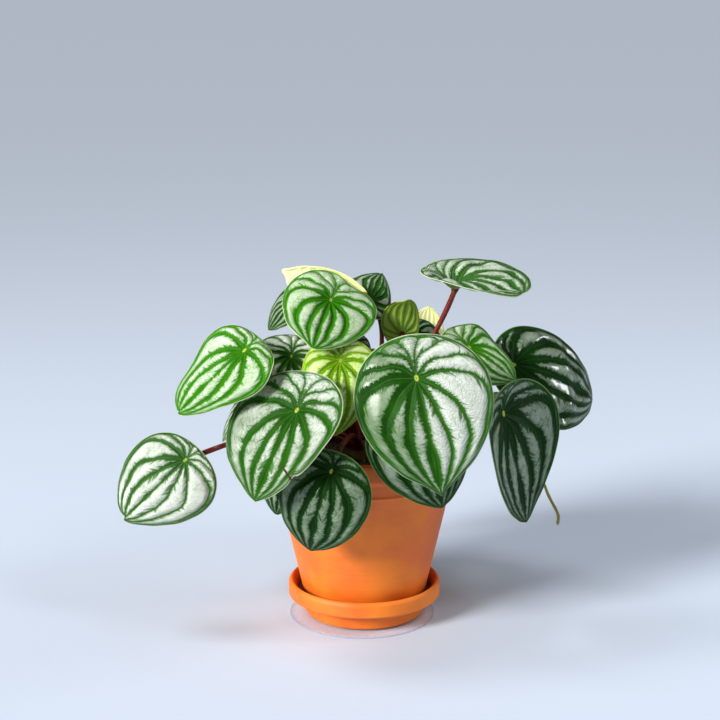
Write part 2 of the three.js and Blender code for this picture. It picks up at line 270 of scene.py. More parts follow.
def makeStripes():
    tree, given = newGroup("leafStripes", Width=("Float", 1.0))
    v = veinSettings
    flat = attribute(tree, "flat", "Vector")
    rim = attribute(tree, "rim")
    start, spread, along = parts(attribute(tree, "vein", "Vector"))
    across, ahead, seed = parts(flat)

    # each vein wanders a little from its course, and its band swells and thins
    heading = start + (noise(flat, 0.045, 1.0) - 0.5) * v["wander"]
    swell = noise(flat, 0.07, 1.0) * v["swell"] + v["leastSwell"]
    shape = ramp(along, *v["grow"]) * ramp(along, *v["fade"]) * swell
    shape = shape * given["Width"] * attribute(tree, "wide")
    room = spread * v["crowded"] + ramp(along, *v["crowdedInside"])
    trunk = ramp(along, *v["trunk"])
    nearest = outside = 99.0
    which = 0.0
    for course, halfWidth, gather, end in zip(v["starts"], v["halfWidths"], v["gathers"], v["ends"]):
        off = heading - (trunk * gather + course if gather else course)
        distance = calc("ABSOLUTE", off) * spread
        half = calc("MINIMUM", shape * halfWidth, room) * ramp(along, end, end * 0.8)
        closer = calc("LESS_THAN", distance, nearest)
        which = closer * (calc("SIGN", off) * 5.0 + course - which) + which  # the vein and its side
        nearest = calc("MINIMUM", distance, nearest)
        outside = calc("MINIMUM", distance - half, outside)

    # feathered edges: barbs that lean to the tip, and a few longer forks of the vein
    lean = along - nearest * v["barbLean"]
    barbPlace = joined(lean / v["barbPitch"], nearest * 0.16 + (which + seed), seed)
    barb = (noise(barbPlace, 1.0, 2.0, 0.65) - 0.45) * (4.0 * v["barbLength"])
    forkBend = noise(flat, 0.25, 1.0) * 3.0
    forkPlace = joined((along - nearest * v["forkSlant"] + forkBend) / v["forkPitch"], which + seed, 0.5)
    forkAway = calc("ABSOLUTE", noise(forkPlace, 1.0, 0.0) - 0.5)
    forkReach = calc("MINIMUM", spread * v["forkSpread"], v["forkLength"])
    forkThin = ramp(outside, 0.0, forkReach, v["forkWidth"], 0.0)
    fork = ramp(forkAway - forkThin, 0.012, 0.0) * ramp(outside, forkReach, forkReach * 0.4)
    fork = fork * ramp(noise(vectorCalc("ADD", forkPlace, (40.0, 40.0, 40.0)), 0.7, 0.0), 0.44, 0.48)

    streak = (noise(joined(lean / 0.9, rim * 0.18, seed), 1.0, 2.0, 0.6) - 0.44) * v["streakLength"]
    navelReach = vectorCalc("LENGTH", joined(across, ahead * 0.62)) + noise(flat, 0.8) * 0.9
    clouds = (noise(flat, 0.09, 3.0, 0.6) - 0.5) * v["paleClouds"]
    # a net of the smallest veins, stretched across the silver and broken up
    netPlace = joined(along * 0.34 + noise(flat, 0.5, 2.0) * 0.9, nearest * 0.16 + which, seed)
    mesh = ramp(cellEdges(netPlace, 1.0), 0.1, 0.01) * ramp(noise(flat, 0.12, 1.0), 0.32, 0.52)
    net = noise(flat, 1.6, 3.0, 0.7)
    arch = ramp(nearest, 0.0, 5.0)  # silver swells up between sunken veins
    groove = ramp(nearest, 0.7, 0.1)
    return closeGroup(
        tree,
        Band=ramp(outside - barb, *v["bandEdge"]),
        Halo=ramp(outside - barb * 0.8, v["haloWidth"], 0.0),
        Fork=fork,
        Mesh=mesh,
        # darker near the navel: the bands' own colour and painted shade of the dip
        Heart=ramp(along, *v["heart"]),
        Margin=ramp(rim - streak, v["marginWidth"] + 0.6, v["marginWidth"] - 0.4),
        # a painted highlight along the margin
        Edge=ramp(rim, v["edgeWidth"] * 1.3, v["edgeWidth"] * 0.5),
        # the vein's lighter line: partly its own colour, partly a painted glint along it
        Core=ramp(nearest, *v["core"]) * ramp(along, *v["coreAlong"]),  # the vein itself shows in its band
        # painted light and shade, set for each blade and each side of its midrib, with random clouds of tone
        Pale=calc("ADD", attribute(tree, "pale"), clouds, clamp=True),
        Navel=ramp(navelReach, *v["navel"]),
        Dot=ramp(navelReach, *v["dot"]),
        Net=net,
        Height=net * 0.2 + arch - groove * 0.25 - fork * 0.2 - mesh * 0.1,
    )


# finishes of the leaves, by kind: the screen colour of each part, how wide the bands are beside
# those of the first kind, the roughness, the coat and a painted glow that stands in for the light
# that comes through the blade. Shade and deep, the darker silver and green, are laid on as painted
# shade where a blade is set less pale, and edge is a painted highlight along the margin
finishParts = ("silver", "shade", "halo", "band", "deep", "margin", "edge", "under", "underBand",
               "width", "gloss", "coat", "glow")
finishRows = {
    "silver": ((236, 240, 232), (108, 130, 98), (70, 116, 50), (44, 102, 10), (10, 46, 2), (40, 98, 16),
               (204, 218, 176), (150, 170, 92), (104, 134, 56), 1.0, 0.30, 0.35, 0.0),
    "bright": ((218, 228, 212), (160, 186, 140), (88, 148, 30), (52, 132, 0), (24, 82, 0), (58, 136, 6),
               (224, 238, 190), (170, 190, 90), (116, 150, 46), 0.88, 0.32, 0.4, 0.0),
    # the deep kind is a darker copy of the silver one: partly the leaves' own darker colour, partly painted
    # shade for leaves that sit under others
    "deep": ((176, 190, 170), (84, 104, 78), (40, 82, 30), (15, 54, 5), (3, 24, 1), (20, 70, 10),
             (128, 160, 100), (122, 146, 80), (80, 110, 46), 1.0, 0.26, 0.45, 0.0),
    "lime": ((228, 242, 200), (192, 220, 118), (176, 212, 60), (106, 168, 2), (40, 96, 0), (156, 202, 24),
             (222, 236, 120), (200, 214, 110), (160, 184, 64), 0.68, 0.32, 0.3, 0.05),
    "pale": ((228, 234, 200), (206, 220, 160), (190, 212, 130), (160, 194, 80), (130, 168, 50),
             (200, 216, 130), (244, 246, 180), (240, 240, 186), (228, 234, 154), 0.8, 0.4, 0.1, 0.3),
    "olive": ((190, 206, 100), (150, 172, 60), (124, 152, 36), (84, 120, 10), (54, 88, 2), (110, 142, 20),
              (170, 190, 60), (132, 160, 60), (82, 116, 18), 0.8, 0.34, 0.3, 0.16),
}
leafFinishes = {kind: dict(zip(finishParts, row)) for kind, row in finishRows.items()}


def finishLike(kind, **changes):
    return {**leafFinishes[kind], **changes}


# a scar runs between two points of the flat blade, in millimetres of a leaf 100 mm long
leafFinishes.update(
    # frosted has lighter, greyer bands and shade: a painted sheen of gloss over the stripes
    frosted=finishLike("silver", band=(62, 106, 44), deep=(34, 76, 24), shade=(140, 160, 132),
                       halo=(98, 138, 82), width=0.85),
    glossy=finishLike("deep", gloss=0.2, coat=1.0, silver=(190, 202, 184)),
    scratched=finishLike("silver", width=0.86, scar=((-12.0, 42.0), (-24.5, 50.0), 1.1, (84, 58, 34))),
    tipped=finishLike("pale", scar=((-1.0, 60.0), (-0.5, 52.0), 2.6, (186, 112, 46))),
    olive=finishLike("olive", scar=((14.5, 56.0), (23.0, 46.0), 1.8, (112, 70, 34))),
)


def makeScar():
    # how near a point of the blade is to the line of a scar
    tree, given = newGroup("scarLine", From=("Vector", (0, 0, 0)), To=("Vector", (0, 0, 0)),
                           Width=("Float", 1.0))
    flat = attribute(tree, "flat", "Vector")
    x, y, _ = parts(flat)
    away = vectorCalc("SUBTRACT", joined(x, y), given["From"])
    line = vectorCalc("SUBTRACT", given["To"], given["From"])
    share = calc("DIVIDE", vectorCalc("DOT_PRODUCT", away, line), vectorCalc("DOT_PRODUCT", line, line),
                 clamp=True)
    rest = vectorCalc("SUBTRACT", away, vectorCalc("MULTIPLY", line, joined(share, share, share)))
    distance = vectorCalc("LENGTH", rest) + (noise(flat, 0.9, 3.0, 0.6) - 0.5) * 2.4
    return closeGroup(tree, Scar=ramp(distance, given["Width"], given["Width"] * 0.5))


def addScar(scar, look, base, depth):
    if "scar" not in look:
        return base
    start, end, width, brown = look["scar"]
    mark = useGroup(base.tree, scar, From=(*start, 0.0), To=(*end, 0.0), Width=width)["Scar"]
    return blend(mark, base, blend(depth, screen(34, 26, 16), screen(*brown)))


def makeLeafMaterial(kind, stripes, scar):
    look = leafFinishes[kind]
    tone = {part: screen(*look[part]) for part in finishParts[:7]}
    material, tree, shader = newMaterial(kind + "Blade")
    marks = useGroup(tree, stripes, Width=look["width"])
    grain = ramp(marks["Net"], 0.36, 0.6)
    veiled = marks["Mesh"] * ramp(marks["Pale"], 0.4, 1.0, 0.65, 0.3)
    # painted light and shade: the silver runs from its shade colour to its own, and the green from deep to
    # band, as the blade is set paler
    silver = layered(blend(marks["Pale"], tone["shade"], tone["silver"]), (grain * 0.5, tone["shade"]),
                     (veiled, tone["halo"]), (marks["Halo"] * 0.5, tone["halo"]),
                     (marks["Fork"] * 0.85, tone["band"]))
    # the heart darkens the green near the navel: its own colour and painted shade of the dip
    green = layered(blend(marks["Pale"], tone["deep"], tone["band"]),
                    (marks["Heart"] * 0.5, tone["deep"]), (grain * 0.35, tone["margin"]))
    base = layered(blend(marks["Band"], silver, green), (marks["Margin"], tone["margin"]),
                   # a painted highlight along the margin, and the vein's lighter line with a painted glint on
                   # it
                   (marks["Edge"] * 0.85, tone["edge"]), (marks["Core"] * 0.6, tone["halo"]),
                   (marks["Navel"], screen(*veinSettings["navelGreen"])),
                   (marks["Dot"], screen(*veinSettings["navelBrown"])))
    stripe = calc("MAXIMUM", marks["Band"], marks["Margin"])
    feed(shader, {"Base Color": addScar(scar, look, base, grain),
                  "Roughness": ramp(marks["Net"], 0.3, 0.7, look["gloss"] - 0.05, look["gloss"] + 0.12),
                  "Coat Weight": ramp(stripe, 0.0, 1.0, look["coat"], 0.0),
                  "Coat Roughness": 0.16, "Specular IOR Level": 0.07})
    addBump(shader, marks["Height"], 0.0009)
    return material


def makeUnderMaterial(kind, stripes, scar):
    look = leafFinishes[kind]
    material, tree, shader = newMaterial(kind + "Under")
    marks = useGroup(tree, stripes, Width=look["width"] * 0.7)
    band = screen(*look["underBand"])
    base = layered(screen(*look["under"]), (marks["Band"], band),
                   (ramp(marks["Net"], 0.4, 0.7, 0.0, 0.35), band))
    base = addScar(scar, look, base, marks["Net"])
    feed(shader, {"Base Color": base, "Roughness": ramp(marks["Net"], 0.3, 0.7, 0.42, 0.58)})
    # a painted glow: light of the blade's own that stands in for light coming through a young blade
    if look["glow"]:  # light that comes through a young blade
        feed(shader, {"Emission Color": base, "Emission Strength": look["glow"]})
    addBump(shader, marks["Height"] * -1.0, 0.0004)
    return material


# pale is painted light and shade: how light each side of the midrib is made, for how the light falls on it
leafDefaults = {"bands": (1.0, 1.0), "pale": (0.5, 0.5), "wave": 0.0, "fold": 0.0, "sweep": 0.0, "skew": 0.0,
                "lift": 8.0, "dip": 2.5, "point": 0.6, "dents": (), "via": None, "crumple": 0.3, "nicks": ()}


def leaf(name, at, facing, size, bend, finish="silver", **extra):
    # where the petiole meets it, the way it faces, its size and how its four sides bend down
    titles = ("heading", "tilt", "turn", "length", "width", "back", "left", "right", "tip", "base")
    form = dict(zip(titles, (*facing, *size, *bend)))
    return {**leafDefaults, **form, "name": name, "at": at, "finish": finish, **extra}


# each leaf's pale pair is painted light and shade for where it sits in the light, left and right of its
# midrib
leaves = [
    leaf("far_left", (-113, -20, 108), (-91, 57, -42), (69, 64, 0.18), (23, 21, 20, 24), "frosted",
         bands=(0.4, 0.85), pale=(0.95, 0.85), sweep=4, skew=0.01, point=0.7, lift=32,
         dents=((7, 0.06, 20), (-172, 0.05, 24)), via=(-96, -2, 110)),
    leaf("upper_left", (-74, -28, 181), (-126, 48, -26), (76, 62, 0.2), (28, 6, 5, 61), "bright",
         bands=(0.8, 0.8), pale=(0.5, 0.75), sweep=2, point=0.9,
         dents=((4, 0.08, 22), (-79, 0.06, 24), (79, 0.1, 21), (55, -0.05, 19)), via=(-92, -12, 150)),
    leaf("top_centre", (-21, -5, 208), (-60, 44, -42), (67, 62, 0.36), (-6, 43, 8, 17), "bright", sweep=-3,
         skew=-0.01, point=0.5, dents=((-165, 0.18, 15), (50, -0.06, 16))),
    leaf("top_right", (57, 0, 214.6), (-96, 10, 59), (79, 62, 0.28), (3, -26, 14, -7), "frosted",
         bands=(1.05, 1.05), crumple=1.6, skew=0.15, sweep=-7, dip=9.5, point=0.5, dents=((-2, 0.17, 36),)),
    leaf("right_bright", (66, -6, 178), (-54, 40, 26), (58, 50, 0.33), (10, 17, 13, 21), "bright",
         bands=(0.85, 0.85), pale=(0.6, 0.6), wave=1.5, sweep=-5, skew=-0.18, point=0.9,
         dents=((123, 0.11, 25), (110, 0.08, 12), (-142, 0.04, 15))),
    leaf("right_glossy", (96, 17, 161), (-70, 56, 72), (93, 73, 0.18), (28, 7, 49, 2), "glossy", skew=-0.05,
         point=0.4, dents=((127, 0.11, 24),), crumple=2.6),
    leaf("right_hanging", (87, -22, 139), (-38, 84, 12), (98, 78, 0.21), (-30, -30, 3, -22), "deep",
         skew=0.08),
    leaf("front_large", (31, -62, 172), (-88, 58, 10), (101, 89, 0.28), (22, 38, 42, 9), sweep=-3, skew=0.05,
         dents=((0, -0.045, 14),), bands=(0.4, 1.1), pale=(1.2, 0.05)),
    leaf("front_under", (34, -60, 139), (-78, 70, 15), (77, 68, 0.32), (30, 22, 33, 20), "deep", skew=-0.08),
    leaf("front_left", (-41, -58, 151), (-122, 47, -5), (90, 84, 0.3), (1, 16, 12, 7), "scratched",
         pale=(0.6, 0.5), nicks=((-52, 0.06, 4),), sweep=-1, skew=-0.14, point=0.5,
         dents=((34, 0.03, 17), (-83, 0.07, 32)), via=(-31, -44, 126)),
    leaf("front_low", (-20, -76, 118), (-100, 65, -17), (71, 61, 0.18), (27, 33, 60, 18), "deep",
         pale=(0.3, 0.3), lift=26),
    leaf("young_lime", (-15, -30, 175), (-88, 55, -6), (66, 50, 0.26), (24, 36, 24, 25), "lime"),
    leaf("left_inner", (-46, -6, 172), (-86, 42, -10), (54, 48, 0.36), (22, 14, 20, 32), pale=(0.9, 0.9)),
    leaf("top_back", (4, 32, 200), (-75, 60, 150), (37, 35, 0.34), (16, 35, 32, 14), skew=0.17,
         bands=(1.3, 1.3), point=1.1, dents=((-11, 0.06, 12), (0, -0.13, 6)), via=(22, 36, 176)),
    leaf("small_dark", (-45, 18, 203), (-140, 50, -20), (36, 32, 0.28), (20, 20, 20, 20), pale=(0.3, 0.3)),
    leaf("pale_back", (-28, 23, 211), (69, 68, -89), (60, 31, 0.43), (11, 22, 19, -6), "tipped", skew=-0.02,
         point=0.5, dents=((157, -0.16, 11),)),
    leaf("young_folded", (24, 8, 184), (85, 72, 181), (46, 25, 0.29), (25, 3, 39, 12), "olive", fold=0.17,
         sweep=-4, skew=-0.12, point=0.4, dents=((17, 0.12, 23),)),
    leaf("pale_right", (41, 37, 177), (70, 74, 188), (29, 24, 0.3), (25, 25, 10, 15), "pale",
         via=(34, 26, 160)),
    leaf("centre_dark", (32, 22, 179), (-92, 50, 40), (38, 30, 0.3), (20, 20, 20, 20), "deep"),
    leaf("middle_dark", (-8, -12, 180), (-84, 52, 4), (28, 24, 0.34), (20, 20, 20, 20), "deep"),
    leaf("left_low", (-74, -1, 143), (-165, 52, -6), (46, 42, 0.26), (20, 20, 25, 20), pale=(0.9, 0.9)),
    leaf("under_left", (-47, -50, 116), (-116, 72, -8), (48, 40, 0.28), (20, 20, 20, 20), "deep", lift=26),
    leaf("rear_upper_right", (58, 45, 154), (38, 38, 12), (66, 56, 0.27), (22, 22, 30, 20)),
    leaf("rear_upper", (-5, 50, 157), (95, 38, -8), (64, 58, 0.27), (22, 22, 26, 20), "bright"),
    leaf("rear_upper_left", (-45, 38, 160), (140, 38, 6), (68, 60, 0.27), (20, 24, 30, 20)),
    leaf("rear_right", (22, 92, 118), (76, 58, 12), (78, 66, 0.25), (22, 26, 38, 18), lift=16),
    leaf("rear_left", (-47, 82, 116), (120, 58, 10), (80, 68, 0.25), (26, 22, 38, 18), lift=16),
    leaf("left_rear", (-84, 26, 162), (166, 46, 4), (56, 50, 0.27), (22, 22, 28, 20), "bright",
         via=(-84, 14, 138)),
    leaf("rear_low_left", (-65, 42, 112), (147, 80, 12), (64, 54, 0.22), (26, 26, 30, 18), "deep", lift=30),
    leaf("rear_low", (-15, 80, 107), (100, 80, -6), (62, 52, 0.22), (28, 28, 30, 18), "deep", lift=32),
    leaf("rear_low_right", (46, 67, 110), (54, 80, -10), (60, 50, 0.22), (26, 28, 30, 18), "deep", lift=30),
    leaf("right_rear", (99, 38, 122), (22, 60, 6), (70, 60, 0.25), (24, 24, 34, 18), lift=26),
]

bladeSettings = {
    "spokes": 96, "rings": 30, "fullLength": 100.0,
    "reach": 0.991, "thickness": 0.8, "rimThickness": 0.5, "rimRound": 0.3,
    "dipRadius": 9.0, "foldRound": 5.0, "waves": 5,
    "quilt": 0.85, "quiltReach": 3.5, "ripple": 0.45, "uneven": 0.006,
    "crumpleMiddle": 0.72, "crumpleReach": 0.2,
}


def leafPlacing(spec):
    heading, tilt, turn = (radians(spec[key]) for key in ("heading", "tilt", "turn"))
    upper = Vector(spot(sin(tilt), heading, cos(tilt)))
    downhill = Vector(spot(cos(tilt), heading, -sin(tilt)))
    tip = Matrix.Rotation(turn, 3, upper) @ downhill
    right = tip.cross(upper)
    return np.array([right, tip, upper]), np.array(spec["at"], float)


def bell(away):
    return np.exp(-(away**2))


def bladeOutline(spec, turn):
    point = spec["point"]
    widest = 2 * ((point + 1) / (point + 2)) ** ((point + 1) / 2) * (1 / (point + 2)) ** 0.5
    side = np.sin(turn) * np.abs(np.sin(turn / 2)) ** point
    half = spec["width"] / 2 * (1 - spec["skew"] * np.sign(side))
    reached = 1.0
    for middle, depth, spread in spec["dents"]:
        away = (np.degrees(turn) - middle + 540) % 360 - 180
        reached = reached - depth * bell(away / spread)
    along = spec["length"] * (0.5 - spec["back"] + np.cos(turn) / 2)
    return reached * half * side / widest, reached * along


def bentStrip(x, reach, degrees):
    curve = np.radians(np.where(np.abs(degrees) < 0.1, 0.1, degrees)) / reach
    return np.sin(curve * x) / curve, (1 - np.cos(curve * x)) / curve


def bladeForm(spec, turn, share, across, along):
    # the same form as the solid blade: dished at the navel, with its four sides bent down
    x, sideDrop = bentStrip(across, spec["width"] / 2, np.where(across > 0, spec["right"], spec["left"]))
    front = along > 0
    reach = np.where(front, spec["length"] * (1 - spec["back"]), spec["length"] * spec["back"])
    y, endDrop = bentStrip(along, reach, np.where(front, spec["tip"], spec["base"]))
    s = bladeSettings
    dip = spec["dip"] * (1 - bell(np.hypot(across, along) / s["dipRadius"]))
    wave = spec["wave"] * share**3 * np.sin(s["waves"] * turn)
    fold = spec["fold"] * (np.hypot(across, s["foldRound"]) - s["foldRound"])
    swept = np.where(front, spec["sweep"] * (along / reach) ** 2, 0.0)
    return np.stack([x + swept, y, dip + wave + fold - sideDrop - endDrop], -1)


def veinReach(start, ratio):
    # share of the way to the margin, where a vein that started at one heading has come to another
    v = veinSettings
    power, fall = (np.interp(start, v["headings"], v[key]) for key in ("powers", "falls"))
    return (1 - ratio**power) * (1 - fall * ratio)


def veinStarts(polar, share):
    low, high = np.maximum(polar, 0.01), np.full_like(polar, veinSettings["furthest"])
    for _ in range(24):
        middle = (low + high) / 2
        short = veinReach(middle, polar / middle) < share
        low, high = np.where(short, middle, low), np.where(short, high, middle)
    return (low + high) / 2


def veinSpread(start, across, along):
    # millimetres across the veins for each degree of their starting heading
    down, out = np.gradient(start)
    xDown, xOut = np.gradient(across)
    yDown, yOut = np.gradient(along)
    area = xDown * yOut - yDown * xOut
    area = np.where(np.abs(area) < 1e-9, 1e-9, area)
    slopeX = (down * yOut - yDown * out) / area
    slopeY = (xDown * out - down * xOut) / area
    return np.clip(1 / np.maximum(np.hypot(slopeX, slopeY), 1e-3), 0.0, 3.0)


def veinLengths(spec, start, polar):
    # how far along its own vein each point lies
    across, along = bladeOutline(spec, np.linspace(0, pi, 181))
    outlinePolar, outlineReach = np.degrees(np.arctan2(across, along)), np.hypot(across, along)
    starts, ratios = np.linspace(1, veinSettings["furthest"], 60), np.linspace(1, 0, 80)
    startGrid, ratioGrid = np.meshgrid(starts, ratios, indexing="ij")
    headings = np.minimum(startGrid * ratioGrid, 180)
    radius = veinReach(startGrid, ratioGrid) * np.interp(headings, outlinePolar, outlineReach)
    x, y = radius * np.sin(np.radians(headings)), radius * np.cos(np.radians(headings))
    steps = np.hypot(np.diff(x, axis=1), np.diff(y, axis=1))
    lengths = np.pad(np.cumsum(steps, 1), ((0, 0), (1, 0)))
    u = np.clip((start - starts[0]) / (starts[1] - starts[0]), 0, len(starts) - 1.001)
    v = np.clip((1 - polar / start) * (len(ratios) - 1), 0, len(ratios) - 1.001)
    i, j = u.astype(int), v.astype(int)
    u, v = u - i, v - j
    near = lengths[i, j] * (1 - v) + lengths[i, j + 1] * v
    far = lengths[i + 1, j] * (1 - v) + lengths[i + 1, j + 1] * v
    return near * (1 - u) + far * u


def gridNormals(points):
    rows, columns = np.gradient(points, axis=(0, 1))
    rows[0] = rows[-1] = (points[1] - points[-2]) / 2  # the first and last spoke are one
    normals = np.cross(rows, columns)
    return normals / np.maximum(norm(normals, axis=-1, keepdims=True), 1e-9)


def leftToRight(pair, across):
    # goes from the left value to the right one across the midrib
    return pair[0] + (pair[1] - pair[0]) * (0.5 + 0.5 * np.tanh(across))


def makeLeaf(spec, index, materials):
    s = bladeSettings
    spokes, rings = s["spokes"], s["rings"]
    maker = random.Random(300 + index)
    turn, share = np.meshgrid(np.linspace(-pi, pi, spokes + 1),
                              np.linspace(0, s["reach"], rings + 1)[1:], indexing="ij")
    across, along = bladeOutline(spec, turn)
    ripples = sum(np.sin(k * turn + 2.4 * k * index) for k in (7, 11, 16)) / 3
    uneven = 1 - s["uneven"] * (1 + ripples)
    for middle, depth, reach in spec["nicks"]:
        uneven = uneven - depth * bell((np.degrees(turn) - middle) / reach) * (share > 0.9)
    across, along = across * share * uneven, along * share * uneven
    polar = np.degrees(np.abs(np.arctan2(across, along)))
    start = veinStarts(polar, share)
    spread = veinSpread(start * np.sign(turn + 1e-9), across, along)
    length = veinLengths(spec, start, polar)
    scale = s["fullLength"] / spec["length"]

    # quilting between the veins, a slight ripple at the margin and crumples in the outer half
    distances = [np.abs(start - heading) * spread * scale for heading in veinSettings["starts"]]
    swollen = 1 - bell(np.min(distances, 0) / s["quiltReach"])
    ripple = sum(np.sin(k * turn + maker.uniform(0, 6.3)) / k for k in (3, 4, 7))
    folds = np.sin(across / 5.3 + 2.2 * np.sin(along / 9.0 + index)) * np.sin(along / 7.1 + across / 13.0)
    belt = bell((share - s["crumpleMiddle"]) / s["crumpleReach"])
    raised = (s["quilt"] / scale * (swollen - 0.5) * (1 - share**6) + s["ripple"] * ripple * share**4
              + spec["crumple"] * folds * belt)
    points = bladeForm(spec, turn, share, across, along)
    points[..., 2] += raised
    thick, thin = s["thickness"] / 2, s["rimThickness"] / 2
    half = gridNormals(points) * np.interp(share, [0, 0.8, 1], [thick, thick, thin])[..., None]
    outward = points[:, -1] - points[:, -2]
    outward /= norm(outward, axis=-1, keepdims=True)
    rim = points[:, -1] + outward * s["rimThickness"] * s["rimRound"]
    middle, straight = np.array([0, 0, raised[:, 0].mean()]), np.array([0, 0, thick])

    # values of the blade in the order of its places: upper side, under side, then the rim
    def gathered(upper, lower, upperMiddle, lowerMiddle, edge):
        upper, lower = (grid[:spokes].swapaxes(0, 1).reshape(rings * spokes, *grid.shape[2:])
                        for grid in (upper, lower))
        return np.concatenate([[upperMiddle], upper, [lowerMiddle], lower, edge[:spokes]])

    def onBothSides(grid, middle):
        return gathered(grid, grid, middle, middle, grid[:, -1])

    places = gathered(points + half, points - half, middle + straight, middle - straight, rim)
    veins = np.stack([start, spread * scale, length * scale], -1)
    seed = 11.0 * index
    flats = np.stack([across * scale, along * scale, np.full_like(across, seed)], -1)
    margins = np.hypot(across, along) * (1 / share - 1) * scale

    under = 1 + rings * spokes
    last, rimFirst = under - spokes, 2 * under
    faces = []
    for i in range(spokes):
        j = (i + 1) % spokes
        faces += [(0, 1 + j, 1 + i), (under, under + 1 + i, under + 1 + j)]
        for a in range(1, last, spokes):
            b = a + spokes
            faces += [(a + i, a + j, b + j, b + i),
                      (under + a + i, under + b + i, under + b + j, under + a + j)]
        faces += [(last + i, last + j, rimFirst + j, rimFirst + i),
                  (rimFirst + i, rimFirst + j, under + last + j, under + last + i)]
    axes, at = leafPlacing(spec)
    piece = newPiece("blade_" + spec["name"], places @ axes + at, faces, *materials)
    piece.data.polygons.foreach_set("material_index", ([0, 1] * rings + [0, 0]) * spokes)
    addLayer(piece, "vein", onBothSides(veins, [0, 0, 0]))
    addLayer(piece, "flat", onBothSides(flats, [0, 0, seed]))
    addLayer(piece, "rim", gathered(margins, margins, 40.0, 40.0, np.zeros(spokes)))
    addLayer(piece, "wide", onBothSides(leftToRight(spec["bands"], across / 5), 1.0))
    # the painted light and shade of each side of the blade
    addLayer(piece, "pale", onBothSides(leftToRight(spec["pale"], across * scale / 14), 0.5))
    return piece


def addLayer(piece, name, values):
    kind, key = ("FLOAT", "value") if values.ndim == 1 else ("FLOAT_VECTOR", "vector")
    layer = piece.data.attributes.new(name, kind, "POINT")
    layer.data.foreach_set(key, values.astype(np.float32).ravel())


def newPiece(name, places, faces, *materials):
    # places are in millimetres
    mesh = bpy.data.meshes.new(name)
    mesh.from_pydata([tuple(p) for p in np.array(places) * mm], [], faces)
    mesh.polygons.foreach_set("use_smooth", [True] * len(mesh.polygons))
    for material in materials:
        mesh.materials.append(material)
    mesh.update()
    piece = addObject(name, mesh)
    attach(piece, "root")
    return piece


def spot(radius, angle, height):
    return (radius * cos(angle), radius * sin(angle), height)


def angles(sides):
    return [2 * pi * k / sides for k in range(sides)]


def ringFaces(first, second, sides, turned=False):
    # quads between two rings of places
    faces = []
    for k in range(sides):
        a, b, c, d = first + k, first + (k + 1) % sides, second + (k + 1) % sides, second + k
        faces.append((a, d, c, b) if turned else (a, b, c, d))
    return faces


def makeLeaves():
    stripes, scar = makeStripes(), makeScar()
    materials = {kind: (makeLeafMaterial(kind, stripes, scar), makeUnderMaterial(kind, stripes, scar))
                 for kind in sorted({spec["finish"] for spec in leaves})}
    slots = {entry["node"]: entry["material_slot"] for entry in frame["record"]["subparts"]}
    for index, spec in enumerate(leaves):
        piece = makeLeaf(spec, index, materials[spec["finish"]])
        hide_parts("leaf_" + spec["name"])
        slots["leaf_" + spec["name"]]
    print("leaves made:", len(leaves))


# petioles, crown and the dried flower spike
stemSettings = {
    "soilMiddle": 108.0,
    "crownRadius": 15.0, "crownHeight": 6.0, "crownSink": 3.0, "crownSides": 48, "crownRows": 14, "knot": 0.9,
    "foot": 0.45, "rise": 0.25, "reach": 0.2, "tuck": 0.12, "sag": 0.6, "steps": 28, "sides": 14,
    "radius": 1.7, "footRadius": 2.5, "footFade": 14, "uneven": 0.04, "flare": 2.6,
    "spike": ((6, 4, 110), (50, 22, 146), (92, 24, 130), (112, 8, 98), (118, 1, 79), (126, 0, 65),
              (125, 0, 58)),
    "spikeRadius": 0.9, "spikeSteps": 60, "spikeSmooth": 12, "spikeSides": 12,
    # dark, light and fresh screen colours of each skin
    "petioleSkin": ((76, 20, 15), (116, 36, 27), (132, 84, 44)),
    "crownBark": ((84, 62, 40), (120, 92, 58), (112, 118, 60)),
    "spikeSkin": ((112, 104, 48), (146, 138, 66), (128, 144, 62)),
}


def petiolePath(spec):
    s = stemSettings
    at = Vector(spec["at"])
    foot = Vector((at.x, at.y, 0)).normalized() * s["crownRadius"] * s["foot"]
    foot.z = s["soilMiddle"] + 1
    chord = at - foot
    rising = foot + chord * s["rise"] + Vector((0, 0, spec["lift"]))
    facing = Vector(leafPlacing(spec)[0][2])
    arriving = at - chord * s["reach"] - facing * s["tuck"] * chord.length
    arriving.z += spec["lift"] * s["sag"]
    if spec["via"]:
        arriving = Vector(spec["via"])
    end = at - facing * bladeSettings["thickness"] * 0.4
    shares = np.linspace(0, 1, s["steps"] + 1)[:, None]
    corners = [np.array(p) for p in (foot, rising, arriving, end)]
    return ((1 - shares) ** 3 * corners[0] + 3 * shares * (1 - shares) ** 2 * corners[1]
            + 3 * shares**2 * (1 - shares) * corners[2] + shares**3 * corners[3])


def tubeMesh(path, radii, sides, places, faces, lastWay=None):
    # adds a closed tube round the path to the lists of places and faces
    ahead = np.gradient(path, axis=0)
    ahead /= norm(ahead, axis=1, keepdims=True)
    if lastWay is not None:
        ahead[-1] = lastWay
    side = np.cross(ahead[0], (0, 0, 1.0))
    if norm(side) < 0.1:
        side = np.array([1.0, 0, 0])
    first = len(places)
    for place, way, radius in zip(path, ahead, radii):
        side = side - way * np.dot(side, way)
        side /= norm(side)
        other = np.cross(way, side)
        for angle in angles(sides):
            places.append(place + radius * (side * cos(angle) + other * sin(angle)))
    last = len(places) - sides
    for ring in range(first, last, sides):
        faces += ringFaces(ring, ring + sides, sides)
    places += [path[0], path[-1]]
    for k in range(sides):
        n = (k + 1) % sides
        faces += [(len(places) - 2, first + n, first + k), (len(places) - 1, last + k, last + n)]


def makeStalkMarks():
    tree, _ = newGroup("stalkMarks")
    place = objectPlace(tree)
    return closeGroup(tree, Streaks=noise(place, 260.0, 4.0, 0.6), Patches=noise(place, 45.0, 2.0))


